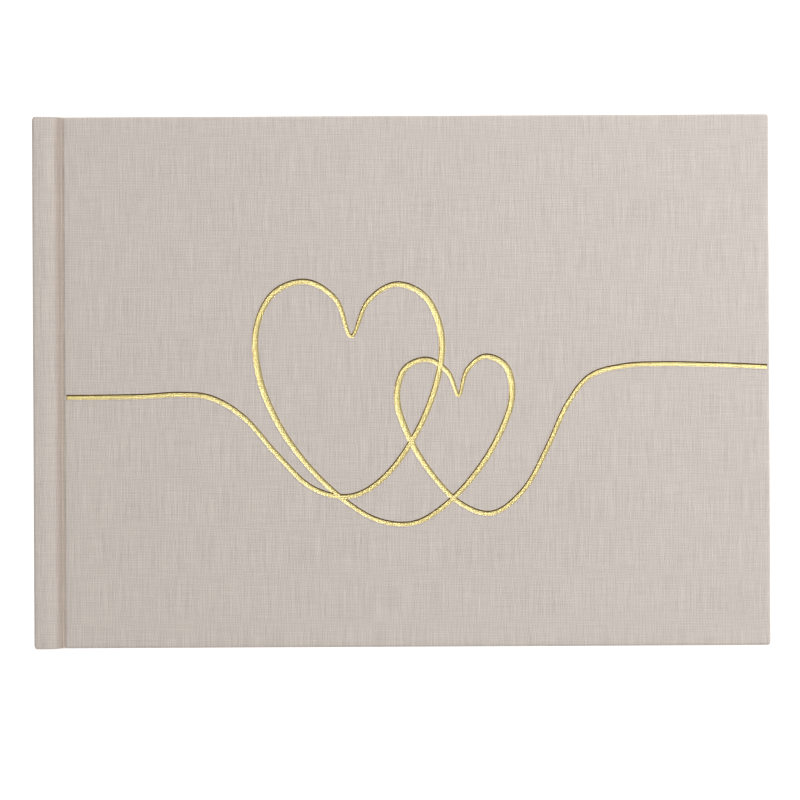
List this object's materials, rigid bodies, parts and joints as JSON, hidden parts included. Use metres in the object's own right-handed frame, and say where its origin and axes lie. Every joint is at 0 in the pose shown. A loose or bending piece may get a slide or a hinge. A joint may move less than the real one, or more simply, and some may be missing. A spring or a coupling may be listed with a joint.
{
  "type": "wedding guest book",
  "caption": "Landscape cloth-bound guest book with flat spine, pressed cloth joints, gold foil line ornament, sewn sections and turning leaves.",
  "frame": {"origin": "under the middle of the closed book, on the face it lies on", "axes": "+X from the spine to the fore-edge, +Y from tail to head, +Z from the back cover up to the front cover"},
  "size_m": [0.254, 0.1838, 0.018],
  "materials": {
    "book_cloth": "plain linen weave, matt",
    "foil": "pressed gold foil, bright",
    "greyboard": "raw grey millboard",
    "leaf_paper": "uncoated ivory",
    "end_paper": "uncoated, a little heavier and warmer",
    "mull": "open cotton scrim, sized",
    "kraft": "brown kraft lining",
    "band": "woven cotton band",
    "thread": "linen thread"
  },
  "bodies": {
    "book_block": {"back_cover_cloth": "book_cloth", "spine_cloth": "book_cloth", "front_joint_cloth": "book_cloth", "back_joint_cloth": "book_cloth", "back_board": "greyboard", "spine_board": "greyboard", "back_pastedown": "end_paper", "front_endpaper_fold": "end_paper", "back_endpaper_fold": "end_paper", "back_flyleaf": "end_paper", "back_mull_flap": "mull", "front_joint_mull": "mull", "spine_mull": "mull", "spine_lining": "kraft", "head_band": "band", "tail_band": "band", "sewing_thread": "thread", "section_1": "leaf_paper", "section_2": "leaf_paper", "section_3": "leaf_paper", "section_4": "leaf_paper", "section_5": "leaf_paper", "section_6": "leaf_paper", "section_7": "leaf_paper", "section_8_gutter": "leaf_paper"},
    "front_cover": {"front_board": "greyboard", "front_cover_cloth": "book_cloth", "front_pastedown": "end_paper", "front_mull_flap": "mull", "foil_flourish": "foil"},
    "turning_flyleaf": {"front_flyleaf": "end_paper"},
    "turning_leaf_1": {"leaf_1": "leaf_paper"},
    "turning_leaf_2": {"leaf_2": "leaf_paper"},
    "turning_leaf_3": {"leaf_3": "leaf_paper"},
    "turning_leaf_4": {"leaf_4": "leaf_paper"},
    "turning_leaf_5": {"leaf_5": "leaf_paper"},
    "turning_leaf_6": {"leaf_6": "leaf_paper"},
    "turning_leaf_7": {"leaf_7": "leaf_paper"},
    "turning_leaf_8": {"leaf_8": "leaf_paper"}
  },
  "joints": [
    {"name": "front_cover_hinge", "type": "hinge", "parent": "book_block", "child": "front_cover", "pos_m": [-0.122, 0, 0.0175], "axis": [0, -1, 0], "range_deg": [0, 179.5], "deforming": ["front_joint_cloth", "front_joint_mull", "front_endpaper_fold"]},
    {"name": "flyleaf_turn", "type": "hinge", "parent": "book_block", "child": "turning_flyleaf", "pos_m": [-0.1173, 0, 0.0177], "axis": [0, -1, 0], "range_deg": [0, 177.6]},
    {"name": "leaf_1_turn", "type": "hinge", "parent": "book_block", "child": "turning_leaf_1", "pos_m": [-0.1173, 0, 0.0177], "axis": [0, -1, 0], "range_deg": [0, 176.5], "deforming": ["section_8_gutter"]},
    {"name": "leaf_2_turn", "type": "hinge", "parent": "book_block", "child": "turning_leaf_2", "pos_m": [-0.1173, 0, 0.0177], "axis": [0, -1, 0], "range_deg": [0, 175.4]},
    {"name": "leaf_3_turn", "type": "hinge", "parent": "book_block", "child": "turning_leaf_3", "pos_m": [-0.1173, 0, 0.0177], "axis": [0, -1, 0], "range_deg": [0, 174.3]},
    {"name": "leaf_4_turn", "type": "hinge", "parent": "book_block", "child": "turning_leaf_4", "pos_m": [-0.1173, 0, 0.0177], "axis": [0, -1, 0], "range_deg": [0, 173.3]},
    {"name": "leaf_5_turn", "type": "hinge", "parent": "book_block", "child": "turning_leaf_5", "pos_m": [-0.1173, 0, 0.0177], "axis": [0, -1, 0], "range_deg": [0, 172.2]},
    {"name": "leaf_6_turn", "type": "hinge", "parent": "book_block", "child": "turning_leaf_6", "pos_m": [-0.1173, 0, 0.0177], "axis": [0, -1, 0], "range_deg": [0, 171.1]},
    {"name": "leaf_7_turn", "type": "hinge", "parent": "book_block", "child": "turning_leaf_7", "pos_m": [-0.1173, 0, 0.0177], "axis": [0, -1, 0], "range_deg": [0, 170]},
    {"name": "leaf_8_turn", "type": "hinge", "parent": "book_block", "child": "turning_leaf_8", "pos_m": [-0.1173, 0, 0.0177], "axis": [0, -1, 0], "range_deg": [0, 169]}
  ],
  "couplings": [
    {"joint": "flyleaf_turn", "follows": "front_cover_hinge", "ratio": 0.989},
    {"joint": "leaf_1_turn", "follows": "front_cover_hinge", "ratio": 0.983},
    {"joint": "leaf_2_turn", "follows": "front_cover_hinge", "ratio": 0.977},
    {"joint": "leaf_3_turn", "follows": "front_cover_hinge", "ratio": 0.971},
    {"joint": "leaf_4_turn", "follows": "front_cover_hinge", "ratio": 0.965},
    {"joint": "leaf_5_turn", "follows": "front_cover_hinge", "ratio": 0.959},
    {"joint": "leaf_6_turn", "follows": "front_cover_hinge", "ratio": 0.953},
    {"joint": "leaf_7_turn", "follows": "front_cover_hinge", "ratio": 0.947},
    {"joint": "leaf_8_turn", "follows": "front_cover_hinge", "ratio": 0.941}
  ]
}
